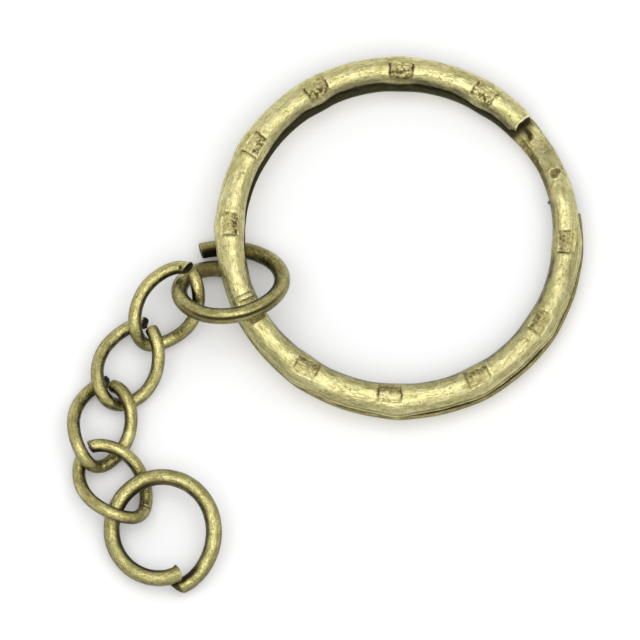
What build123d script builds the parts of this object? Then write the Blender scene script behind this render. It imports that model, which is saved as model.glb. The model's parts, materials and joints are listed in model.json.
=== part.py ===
from build123d import *
import math
import os

# Split key ring with a connector ring, a short curb chain and an end ring.
# Seven pieces of bent wire, lying on a table.  Millimetres, +Z up.
# Origin: centre of the footprint, on the table.

# ---- driving dimensions -------------------------------------------------
COIL_RADIUS = 11.53        # split ring, centre line of the wire
WIRE_HALF_WIDTH = 0.91     # split ring wire, half of its width at the flat
WALL = 0.32                # split ring wire, straight wall beside the flat
COIL_HEIGHT = 1.20         # height of one coil, dome to parting plane
COIL_GAP = 0.03            # half of the gap between the two coils
CROWN = 0.02               # the flat sides are very slightly crowned
LOWER_SHIFT = (0.18, -0.38)  # sideways offset of the lower coil
FREE_END_ANGLE = 42.0      # cut end of the upper coil
FREE_ROOT_ANGLE = 132.0    # where the springy free end meets the rest
ROOT_SLIT = 0.22           # degrees left open at that place
RAMP_START = 12.0          # upper coil starts to go down
RAMP_END = 39.0            # lower coil reached
LOWER_END_ANGLE = 10.0     # cut end of the lower coil
RING_TILT = 3.0            # the left side rests on the connector ring
RING_CENTRE = (-0.10, -0.325, 1.857)
STAMPS = [59, 89, 120, 148, 177, 206, 237, 267, 298, 327, 357]
STAMP_LENGTH = 1.50
STAMP_WIDTH = 1.25
STAMP_DEPTH = 0.16

JUMP_WIRE = 1.10           # connector ring and end ring, wire diameter
LINK_WIRE = 0.90           # chain links, wire diameter

# moves everything so that the origin is the centre of the footprint
FRAME_SHIFT = (5.081, 6.627, 0.008)

# Centre-line routes, as corners of a polyline; every corner is rounded with
# the largest arc its two runs allow.
CONNECTOR_ROUTE = [
    (-11.693, -2.435, 0.559),
    (-12.374, -2.348, 0.571),
    (-13.614, -2.551, 0.870),
    (-14.588, -3.178, 1.463),
    (-15.049, -4.107, 2.252),
    (-14.944, -5.126, 3.105),
    (-14.339, -6.009, 3.875),
    (-13.330, -6.595, 4.463),
    (-12.071, -6.803, 4.798),
    (-10.766, -6.635, 4.836),
    (-9.575, -6.142, 4.589),
    (-8.632, -5.391, 4.090),
    (-8.049, -4.459, 3.397),
    (-7.925, -3.438, 2.588),
    (-8.291, -2.477, 1.789),
    (-9.102, -1.690, 1.111),
    (-10.227, -1.156, 0.662),
    (-11.499, -0.911, 0.509),
    (-12.795, -0.978, 0.652),
    (-13.381, -1.167, 0.863),
]

LINK_1_ROUTE = [
    (-14.547, -2.940, 3.002),
    (-14.949, -2.746, 2.769),
    (-15.944, -2.992, 2.473),
    (-16.819, -3.605, 2.434),
    (-17.489, -4.438, 2.504),
    (-17.928, -5.417, 2.539),
    (-18.094, -6.453, 2.390),
    (-17.951, -7.375, 1.903),
    (-17.448, -7.836, 1.092),
    (-16.572, -7.738, 0.494),
    (-15.583, -7.386, 0.507),
    (-14.741, -6.928, 0.960),
    (-14.122, -6.365, 1.645),
    (-13.763, -5.681, 2.375),
    (-13.663, -4.823, 2.999),
    (-13.845, -3.813, 3.295),
    (-14.108, -3.398, 3.177),
]

LINK_2_ROUTE = [
    (-17.347, -6.432, 1.507),
    (-17.719, -6.316, 1.177),
    (-18.660, -6.687, 0.837),
    (-19.504, -7.332, 0.898),
    (-20.140, -8.143, 1.179),
    (-20.525, -9.079, 1.518),
    (-20.647, -10.117, 1.760),
    (-20.470, -11.156, 1.711),
    (-19.942, -11.898, 1.218),
    (-19.069, -12.031, 0.588),
    (-18.097, -11.685, 0.407),
    (-17.271, -11.078, 0.668),
    (-16.723, -10.307, 1.153),
    (-16.447, -9.405, 1.669),
    (-16.425, -8.404, 2.045),
    (-16.655, -7.367, 2.091),
    (-16.905, -6.989, 1.877),
]

LINK_3_ROUTE = [
    (-19.947, -10.398, 0.785),
    (-20.405, -10.429, 0.545),
    (-21.283, -11.089, 0.520),
    (-21.887, -11.927, 0.860),
    (-22.202, -12.859, 1.352),
    (-22.249, -13.849, 1.825),
    (-22.055, -14.880, 2.128),
    (-21.635, -15.891, 2.067),
    (-21.014, -16.523, 1.480),
    (-20.197, -16.372, 0.771),
    (-19.368, -15.709, 0.525),
    (-18.719, -14.845, 0.676),
    (-18.345, -13.880, 1.026),
    (-18.274, -12.842, 1.404),
    (-18.530, -11.800, 1.613),
    (-19.123, -10.910, 1.426),
    (-19.551, -10.775, 1.136),
]

LINK_4_ROUTE = [
    (-20.966, -15.139, 1.528),
    (-20.513, -15.027, 1.731),
    (-19.475, -15.243, 1.764),
    (-18.568, -15.735, 1.489),
    (-17.870, -16.444, 1.081),
    (-17.421, -17.337, 0.717),
    (-17.238, -18.369, 0.571),
    (-17.338, -19.389, 0.819),
    (-17.745, -20.112, 1.492),
    (-18.543, -20.314, 2.161),
    (-19.540, -20.073, 2.366),
    (-20.445, -19.559, 2.162),
    (-21.151, -18.878, 1.743),
    (-21.650, -18.042, 1.261),
    (-21.907, -17.072, 0.873),
    (-21.838, -16.023, 0.768),
    (-21.561, -15.629, 0.932),
]

END_RING_ROUTE = [
    (-15.110, -24.152, 1.699),
    (-15.700, -24.346, 1.514),
    (-16.951, -24.312, 1.208),
    (-18.106, -23.825, 1.002),
    (-19.021, -22.944, 0.913),
    (-19.570, -21.771, 0.945),
    (-19.672, -20.507, 1.083),
    (-19.332, -19.285, 1.302),
    (-18.585, -18.271, 1.565),
    (-17.537, -17.596, 1.826),
    (-16.289, -17.337, 2.044),
    (-15.039, -17.552, 2.176),
    (-13.944, -18.200, 2.206),
    (-13.128, -19.200, 2.125),
    (-12.684, -20.380, 1.951),
    (-12.618, -21.643, 1.697),
    (-12.939, -22.834, 1.393),
    (-13.606, -23.874, 1.056),
    (-14.580, -24.650, 0.712),
    (-15.158, -24.845, 0.559),
]


def wire_route(points):
    """Tangent arcs and short straight runs through the route's corners."""
    pts = [Vector(*p) for p in points]
    radii = []
    for i in range(1, len(pts) - 1):
        u = pts[i - 1] - pts[i]
        w = pts[i + 1] - pts[i]
        turn = math.radians(180.0 - u.get_angle(w))
        first = u.length if i == 1 else u.length / 2
        last = w.length if i == len(pts) - 2 else w.length / 2
        radii.append(0.90 * min(first, last) / math.tan(turn / 2))
    return FilletPolyline(*pts, radius=radii), radii


def round_wire(name, points, diameter):
    path, radii = wire_route(points)
    start = Plane(origin=path @ 0, z_dir=path % 0)
    solid = sweep(start * Circle(diameter / 2), path=path)
    expected = math.pi * diameter ** 2 / 4 * path.length
    print(name, "length %.2f" % path.length, "smallest radius %.2f" % min(radii),
          "volume %.3f of %.3f" % (solid.volume, expected))
    return solid


def profile(angle, low, high, low_sag, high_sag, half_width, centre=(0.0, 0.0)):
    """Closed wire section standing in the radial plane at an angle."""
    a = math.radians(angle)
    e = (math.cos(a), math.sin(a))

    def pt(dr, z):
        r = COIL_RADIUS + dr
        return (centre[0] + r * e[0], centre[1] + r * e[1], z)

    w = half_width
    edges = [
        ThreePointArc(pt(-w, low + low_sag), pt(0, low), pt(w, low + low_sag)),
        Line(pt(w, low + low_sag), pt(w, high - high_sag)),
        ThreePointArc(pt(w, high - high_sag), pt(0, high), pt(-w, high - high_sag)),
        Line(pt(-w, high - high_sag), pt(-w, low + low_sag)),
    ]
    return Face(Wire(edges))


DOME = COIL_HEIGHT - COIL_GAP - CROWN - WALL


def coil(start, end, upper):
    """One planar coil from start to end, in degrees, anticlockwise."""
    if upper:
        face = profile(0, COIL_GAP, COIL_HEIGHT, CROWN, DOME, WIRE_HALF_WIDTH)
    else:
        face = profile(0, -COIL_HEIGHT, -COIL_GAP, DOME, CROWN, WIRE_HALF_WIDTH)
    solid = revolve(face, axis=Axis.Z, revolution_arc=end - start)
    solid = Rot(0, 0, start) * solid
    if not upper:
        solid = Pos(LOWER_SHIFT[0], LOWER_SHIFT[1], 0) * solid
    return solid


def ramp():
    """Crossover from the upper to the lower coil."""
    n = 8
    faces = []
    for i in range(n + 1):
        t = i / n
        s = t * t * (3 - 2 * t)
        angle = RAMP_START + (RAMP_END - RAMP_START) * t
        low = COIL_GAP + (-COIL_HEIGHT - COIL_GAP) * s
        high = COIL_HEIGHT + (-COIL_GAP - COIL_HEIGHT) * s
        low_sag = CROWN + (DOME - CROWN) * s
        high_sag = DOME + (CROWN - DOME) * s
        width = WIRE_HALF_WIDTH - 0.10 * math.sin(math.pi * t) ** 2
        centre = (LOWER_SHIFT[0] * s, LOWER_SHIFT[1] * s)
        faces.append(profile(angle, low, high, low_sag, high_sag, width, centre))
    return loft(faces)


def stamp_cut(angle, upper):
    """Square recess pressed into the dome."""
    side = 1 if upper else -1
    block = Box(STAMP_WIDTH, STAMP_LENGTH, 0.6,
                align=(Align.CENTER, Align.CENTER, Align.MIN))
    z = COIL_HEIGHT - STAMP_DEPTH
    if upper:
        block = Pos(COIL_RADIUS, 0, z) * block
        return Rot(0, 0, angle) * block
    block = Pos(COIL_RADIUS, 0, -z - 0.6) * block
    return Pos(LOWER_SHIFT[0], LOWER_SHIFT[1], 0) * (Rot(0, 0, angle) * block)


def one_solid(shape):
    solids = shape.solids()
    return solids[0] if len(solids) == 1 else shape


# ---- split ring, in its own flat frame -----------------------------------
main = coil(FREE_ROOT_ANGLE + ROOT_SLIT / 2, 360 + RAMP_START, True)
main = main + ramp()
main = main + coil(RAMP_END, 360 + LOWER_END_ANGLE, False)
free = coil(FREE_END_ANGLE, FREE_ROOT_ANGLE - ROOT_SLIT / 2, True)
for a in STAMPS:
    if FREE_END_ANGLE < a < FREE_ROOT_ANGLE:
        free = free - stamp_cut(a, True)
    else:
        main = main - stamp_cut(a, True)
    if a != 357:
        main = main - stamp_cut(a, False)

tilt = math.radians(RING_TILT)
ring_plane = Plane(origin=RING_CENTRE,
                   x_dir=(math.cos(tilt), 0, -math.sin(tilt)),
                   z_dir=(math.sin(tilt), 0, math.cos(tilt)))
main = ring_plane.location * one_solid(main)
free = ring_plane.location * one_solid(free)

shift = Location(FRAME_SHIFT)
parts = {
    "split_ring": main,
    "split_ring_free_end": free,
    "connector_ring": round_wire("connector_ring", CONNECTOR_ROUTE, JUMP_WIRE),
    "chain_link_1": round_wire("chain_link_1", LINK_1_ROUTE, LINK_WIRE),
    "chain_link_2": round_wire("chain_link_2", LINK_2_ROUTE, LINK_WIRE),
    "chain_link_3": round_wire("chain_link_3", LINK_3_ROUTE, LINK_WIRE),
    "chain_link_4": round_wire("chain_link_4", LINK_4_ROUTE, LINK_WIRE),
    "end_ring": round_wire("end_ring", END_RING_ROUTE, JUMP_WIRE),
}

os.makedirs("parts", exist_ok=True)
for name, shape in parts.items():
    placed = shift * one_solid(shape)
    placed.label = name
    b = placed.bounding_box()
    print(name, "solids", len(placed.solids()), "volume %.3f" % placed.volume,
          "box", [round(v, 3) for v in (*b.min, *b.max)])
    export_step(placed, "parts/" + name + ".step")
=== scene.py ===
import bpy
import json
import math
import numpy as np
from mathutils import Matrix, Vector


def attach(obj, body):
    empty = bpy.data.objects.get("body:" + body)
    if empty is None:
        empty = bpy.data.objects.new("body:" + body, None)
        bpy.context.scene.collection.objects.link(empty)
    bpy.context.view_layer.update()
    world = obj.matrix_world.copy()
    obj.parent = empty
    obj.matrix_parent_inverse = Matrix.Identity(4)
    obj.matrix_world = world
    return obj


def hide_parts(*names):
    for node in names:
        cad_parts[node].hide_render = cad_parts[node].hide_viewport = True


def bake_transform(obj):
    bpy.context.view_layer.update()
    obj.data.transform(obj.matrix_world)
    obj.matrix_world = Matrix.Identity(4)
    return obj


# Split key ring, connector ring, four-link curb chain and end ring, in aged
# bronze.  Lengths are worked out in millimetres and written in metres.

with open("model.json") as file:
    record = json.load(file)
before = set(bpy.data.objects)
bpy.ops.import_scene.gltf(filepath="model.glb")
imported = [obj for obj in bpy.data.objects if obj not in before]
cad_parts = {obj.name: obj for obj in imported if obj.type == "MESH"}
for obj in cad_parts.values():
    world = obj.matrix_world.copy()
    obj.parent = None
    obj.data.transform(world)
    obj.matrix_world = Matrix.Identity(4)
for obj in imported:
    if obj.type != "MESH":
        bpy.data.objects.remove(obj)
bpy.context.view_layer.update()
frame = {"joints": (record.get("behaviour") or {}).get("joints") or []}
MM = 0.001

# ---- placement: the split ring's own axis comes from the record ------------
JOINTS = {j["name"]: j for j in frame["joints"]}
AXLE = np.array(JOINTS["split_ring_turn"]["pos_m"]) / MM
RING_N = np.array(JOINTS["split_ring_turn"]["axis"], float)
RING_N /= np.linalg.norm(RING_N)
RING_X = np.array([RING_N[2], 0.0, -RING_N[0]])
RING_X /= np.linalg.norm(RING_X)
RING_Y = np.cross(RING_N, RING_X)
SHIFT = AXLE - np.array([-0.10, -0.325, 1.857])      # the wire routes' own origin

# centre lines of the wires, in mm
ROUTES = {
    "connector": [
        (-11.676, -2.455, 0.570), (-12.376, -2.376, 0.596), (-13.066, -2.444, 0.728),
        (-13.701, -2.649, 0.957), (-14.244, -2.975, 1.268), (-14.655, -3.405, 1.649),
        (-14.910, -3.905, 2.076), (-15.004, -4.441, 2.526), (-14.936, -4.977, 2.980),
        (-14.702, -5.480, 3.417), (-14.324, -5.923, 3.816), (-13.831, -6.289, 4.165),
        (-13.245, -6.562, 4.451), (-12.591, -6.723, 4.660), (-11.897, -6.764, 4.784),
        (-11.195, -6.693, 4.821), (-10.511, -6.521, 4.774), (-9.870, -6.255, 4.642),
        (-9.292, -5.908, 4.432), (-8.795, -5.490, 4.153), (-8.399, -5.014, 3.812),
        (-8.125, -4.494, 3.421), (-7.992, -3.949, 2.992), (-8.003, -3.400, 2.548),
        (-8.153, -2.868, 2.108), (-8.438, -2.373, 1.693), (-8.855, -1.937, 1.325),
        (-9.377, -1.573, 1.019), (-9.979, -1.287, 0.783), (-10.636, -1.083, 0.622),
        (-11.328, -0.963, 0.543), (-12.034, -0.935, 0.555), (-12.728, -1.004, 0.665),
        (-13.378, -1.175, 0.880),
    ],
    "link_1": [
        (-14.544, -2.942, 3.008), (-14.950, -2.830, 2.796), (-15.391, -2.858, 2.633),
        (-15.829, -2.999, 2.525), (-16.244, -3.218, 2.464), (-16.629, -3.492, 2.443),
        (-16.977, -3.812, 2.452), (-17.281, -4.174, 2.478), (-17.537, -4.571, 2.506),
        (-17.742, -4.997, 2.524), (-17.898, -5.444, 2.518), (-18.004, -5.903, 2.475),
        (-18.053, -6.364, 2.379), (-18.036, -6.804, 2.211), (-17.946, -7.192, 1.956),
        (-17.783, -7.497, 1.635), (-17.544, -7.708, 1.287), (-17.225, -7.800, 0.953),
        (-16.836, -7.772, 0.687), (-16.404, -7.662, 0.534), (-15.958, -7.508, 0.507),
        (-15.527, -7.329, 0.584), (-15.128, -7.135, 0.747), (-14.774, -6.923, 0.978),
        (-14.470, -6.691, 1.256), (-14.216, -6.435, 1.563), (-14.012, -6.151, 1.881),
        (-13.856, -5.837, 2.199), (-13.750, -5.490, 2.504), (-13.699, -5.110, 2.780),
        (-13.706, -4.696, 3.007), (-13.779, -4.255, 3.162), (-13.915, -3.807, 3.223),
        (-14.101, -3.374, 3.185),
    ],
    "link_2": [
        (-17.346, -6.432, 1.515), (-17.716, -6.394, 1.226), (-18.131, -6.484, 1.023),
        (-18.550, -6.671, 0.909), (-18.950, -6.919, 0.870), (-19.321, -7.210, 0.893),
        (-19.654, -7.536, 0.970), (-19.941, -7.894, 1.085), (-20.178, -8.278, 1.224),
        (-20.365, -8.686, 1.374), (-20.502, -9.115, 1.518), (-20.587, -9.563, 1.642),
        (-20.615, -10.027, 1.726), (-20.579, -10.498, 1.749), (-20.472, -10.953, 1.686),
        (-20.295, -11.364, 1.538), (-20.045, -11.701, 1.323), (-19.720, -11.919, 1.061),
        (-19.337, -11.992, 0.796), (-18.916, -11.947, 0.590), (-18.478, -11.811, 0.479),
        (-18.051, -11.610, 0.465), (-17.659, -11.358, 0.541), (-17.318, -11.067, 0.688),
        (-17.033, -10.743, 0.882), (-16.805, -10.391, 1.100), (-16.633, -10.013, 1.326),
        (-16.514, -9.611, 1.545), (-16.447, -9.188, 1.745), (-16.432, -8.746, 1.911),
        (-16.472, -8.289, 2.024), (-16.567, -7.829, 2.066), (-16.712, -7.382, 2.019),
        (-16.896, -6.969, 1.882),
    ],
    "link_3": [
        (-19.945, -10.396, 0.791), (-20.376, -10.501, 0.603), (-20.795, -10.729, 0.530),
        (-21.167, -11.037, 0.554), (-21.487, -11.388, 0.649), (-21.752, -11.766, 0.797),
        (-21.958, -12.162, 0.983), (-22.104, -12.573, 1.194), (-22.192, -12.997, 1.412),
        (-22.229, -13.431, 1.624), (-22.219, -13.875, 1.817), (-22.163, -14.329, 1.976),
        (-22.059, -14.790, 2.084), (-21.903, -15.247, 2.116), (-21.696, -15.677, 2.045),
        (-21.445, -16.050, 1.867), (-21.148, -16.330, 1.608), (-20.803, -16.463, 1.299),
        (-20.432, -16.414, 0.994), (-20.054, -16.231, 0.756), (-19.683, -15.955, 0.617),
        (-19.336, -15.620, 0.568), (-19.027, -15.249, 0.597), (-18.766, -14.852, 0.689),
        (-18.560, -14.435, 0.824), (-18.412, -14.002, 0.984), (-18.324, -13.555, 1.151),
        (-18.299, -13.098, 1.309), (-18.338, -12.634, 1.443), (-18.445, -12.171, 1.533),
        (-18.622, -11.721, 1.560), (-18.869, -11.308, 1.510), (-19.185, -10.973, 1.367),
        (-19.553, -10.771, 1.130),
    ],
    "link_4": [
        (-20.973, -15.134, 1.525), (-20.528, -15.088, 1.677), (-20.062, -15.128, 1.746),
        (-19.603, -15.244, 1.738), (-19.169, -15.418, 1.667), (-18.769, -15.640, 1.546),
        (-18.410, -15.904, 1.388), (-18.096, -16.211, 1.212), (-17.830, -16.560, 1.033),
        (-17.615, -16.948, 0.870), (-17.451, -17.372, 0.737), (-17.337, -17.822, 0.647),
        (-17.277, -18.291, 0.616), (-17.276, -18.761, 0.664), (-17.340, -19.205, 0.810),
        (-17.468, -19.594, 1.046), (-17.666, -19.910, 1.335), (-17.945, -20.134, 1.644),
        (-18.303, -20.245, 1.930), (-18.720, -20.247, 2.152), (-19.165, -20.158, 2.281),
        (-19.610, -20.001, 2.318), (-20.031, -19.793, 2.268), (-20.415, -19.543, 2.148),
        (-20.756, -19.260, 1.982), (-21.056, -18.949, 1.789), (-21.314, -18.610, 1.583),
        (-21.529, -18.242, 1.377), (-21.696, -17.843, 1.183), (-21.811, -17.416, 1.015),
        (-21.867, -16.964, 0.888), (-21.856, -16.496, 0.820), (-21.758, -16.034, 0.829),
        (-21.569, -15.614, 0.929),
    ],
    "end_ring": [
        (-15.091, -24.122, 1.707), (-15.728, -24.311, 1.514), (-16.397, -24.349, 1.341),
        (-17.063, -24.239, 1.193), (-17.699, -23.992, 1.076), (-18.276, -23.621, 0.992),
        (-18.774, -23.143, 0.942), (-19.172, -22.577, 0.927), (-19.455, -21.946, 0.947),
        (-19.605, -21.273, 1.001), (-19.619, -20.586, 1.084), (-19.504, -19.913, 1.192),
        (-19.264, -19.275, 1.316), (-18.906, -18.700, 1.454), (-18.438, -18.211, 1.596),
        (-17.882, -17.824, 1.738), (-17.258, -17.555, 1.870), (-16.590, -17.419, 1.987),
        (-15.905, -17.427, 2.080), (-15.231, -17.569, 2.147), (-14.593, -17.835, 2.185),
        (-14.017, -18.218, 2.192), (-13.528, -18.706, 2.166), (-13.140, -19.277, 2.108),
        (-12.860, -19.904, 2.021), (-12.692, -20.566, 1.910), (-12.643, -21.243, 1.776),
        (-12.708, -21.915, 1.624), (-12.882, -22.565, 1.458), (-13.159, -23.174, 1.282),
        (-13.535, -23.726, 1.099), (-14.003, -24.201, 0.914), (-14.554, -24.578, 0.731),
        (-15.172, -24.835, 0.559),
    ],
}

# ---- numpy helpers -----------------------------------------------------------
def _hash(ix, iy, iz, seed):
    h = (ix * 374761393 + iy * 668265263 + iz * 2147483647 + seed * 1274126177) & 0xFFFFFFFF
    h = ((h ^ (h >> 13)) * 1274126177) & 0xFFFFFFFF
    h = ((h ^ (h >> 16)) * 2246822519) & 0xFFFFFFFF
    return ((h ^ (h >> 15)) & 0xFFFFFF) / float(0xFFFFFF) * 2.0 - 1.0


def noise3(p, scale, seed=0):
    """Smooth value noise between -1 and 1 at points p (..., 3)."""
    q = np.asarray(p, float) * scale
    i = np.floor(q).astype(np.int64)
    f = q - i
    f = f * f * f * (f * (f * 6 - 15) + 10)
    out = 0.0
    for dx in (0, 1):
        wx = f[..., 0] if dx else 1 - f[..., 0]
        for dy in (0, 1):
            wy = f[..., 1] if dy else 1 - f[..., 1]
            for dz in (0, 1):
                wz = f[..., 2] if dz else 1 - f[..., 2]
                out = out + wx * wy * wz * _hash(i[..., 0] + dx, i[..., 1] + dy, i[..., 2] + dz, seed)
    return out


def fbm(p, scale, seed=0, octaves=3):
    total, amp, norm = 0.0, 1.0, 0.0
    for k in range(octaves):
        total = total + amp * noise3(p, scale * 2 ** k, seed + 17 * k)
        norm += amp
        amp *= 0.5
    return total / norm


def smooth(x, a, b):
    t = np.clip((x - a) / (b - a), 0, 1)
    return t * t * (3 - 2 * t)


def spline(points, n):
    """Natural cubic spline through points, 1500 points evenly spaced along it, with their distances along it; n is not
    used.
    """
    P = np.array(points, float)
    d = np.r_[0, np.cumsum(np.linalg.norm(np.diff(P, axis=0), axis=1))]
    m = len(P)
    h = np.diff(d)
    A = np.zeros((m, m))
    R = np.zeros((m, 3))
    A[0, 0] = A[-1, -1] = 1
    for i in range(1, m - 1):
        A[i, i - 1], A[i, i], A[i, i + 1] = h[i - 1], 2 * (h[i - 1] + h[i]), h[i]
        R[i] = 6 * ((P[i + 1] - P[i]) / h[i] - (P[i] - P[i - 1]) / h[i - 1])
    M = np.linalg.solve(A, R)

    def at(t):
        k = np.clip(np.searchsorted(d, t, side="right") - 1, 0, m - 2)
        a, b = d[k + 1] - t, t - d[k]
        hh = h[k]
        return (M[k] * a[:, None] ** 3 + M[k + 1] * b[:, None] ** 3) / (6 * hh[:, None]) \
            + (P[k] / hh[:, None] - M[k] * hh[:, None] / 6) * a[:, None] \
            + (P[k + 1] / hh[:, None] - M[k + 1] * hh[:, None] / 6) * b[:, None]

    fine = at(np.linspace(0, d[-1], 1500))
    s = np.r_[0, np.cumsum(np.linalg.norm(np.diff(fine, axis=0), axis=1))]
    return fine, s


class Line:
    """A centre line that can be read at any distance along it, and past its ends."""

    def __init__(self, points):
        self.p, self.s = spline(points, 0)
        self.length = self.s[-1]

    def at(self, s):
        s = np.asarray(s, float)
        c = np.clip(s, 0, self.length)
        pos = np.stack([np.interp(c, self.s, self.p[:, k]) for k in range(3)], -1)
        e = 0.05
        a = np.clip(c - e, 0, self.length)
        b = np.clip(c + e, 0, self.length)
        pa = np.stack([np.interp(a, self.s, self.p[:, k]) for k in range(3)], -1)
        pb = np.stack([np.interp(b, self.s, self.p[:, k]) for k in range(3)], -1)
        t = pb - pa
        t /= np.linalg.norm(t, axis=-1, keepdims=True)
        pos = pos + t * (s - c)[..., None]
        up = np.array([0, 0, 1.0]) - t * t[..., 2:3]
        up /= np.linalg.norm(up, axis=-1, keepdims=True)
        side = np.cross(t, up)
        return pos, t, up, side


def grid_mesh(name, P, attrs, closed_cap=True):
    """P is (rings, around, 3) in mm, in the row frame.  Each ring is closed; both ends are capped."""
    n, m, _ = P.shape
    verts = P.reshape(-1, 3)
    i = np.arange(n - 1)[:, None]
    j = np.arange(m)[None, :]
    jn = (j + 1) % m
    quads = np.stack([i * m + j, i * m + jn, (i + 1) * m + jn, (i + 1) * m + j], -1).reshape(-1, 4)
    faces = [tuple(map(int, q)) for q in quads]
    a = len(verts)
    verts = np.vstack([verts, P[0].mean(0), P[-1].mean(0)])
    for k in range(m):
        faces.append((a, (k + 1) % m, k))
        faces.append((a + 1, (n - 1) * m + k, (n - 1) * m + (k + 1) % m))
    me = bpy.data.meshes.new(name)
    me.from_pydata((verts * MM).tolist(), [], faces)
    me.validate()
    for key, val in attrs.items():
        val = np.asarray(val, float)
        if val.ndim == 3:
            flat = np.vstack([val.reshape(-1, 3), val[0].mean(0), val[-1].mean(0)])
            at = me.attributes.new(key, "FLOAT_VECTOR", "POINT")
            at.data.foreach_set("vector", flat.astype(np.float32).ravel())
        else:
            flat = np.r_[val.reshape(-1), val[0].mean(), val[-1].mean()]
            at = me.attributes.new(key, "FLOAT", "POINT")
            at.data.foreach_set("value", flat.astype(np.float32))
    me.update()
    ob = bpy.data.objects.new(name, me)
    bpy.context.scene.collection.objects.link(ob)
    me.polygons.foreach_set("use_smooth", [True] * len(me.polygons))
    return ob


def outward(ob):
    """Makes sure that the faces look out of the solid."""
    me = ob.data
    co = np.zeros(len(me.vertices) * 3)
    me.vertices.foreach_get("co", co)
    co = co.reshape(-1, 3)
    me.calc_loop_triangles()
    t = np.zeros(len(me.loop_triangles) * 3, np.int32)
    me.loop_triangles.foreach_get("vertices", t)
    t = t.reshape(-1, 3)
    v = np.einsum("ij,ij->i", co[t[:, 0]], np.cross(co[t[:, 1]], co[t[:, 2]])).sum() / 6
    if v < 0:
        me.flip_normals()
    return abs(v) * 1e9


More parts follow.
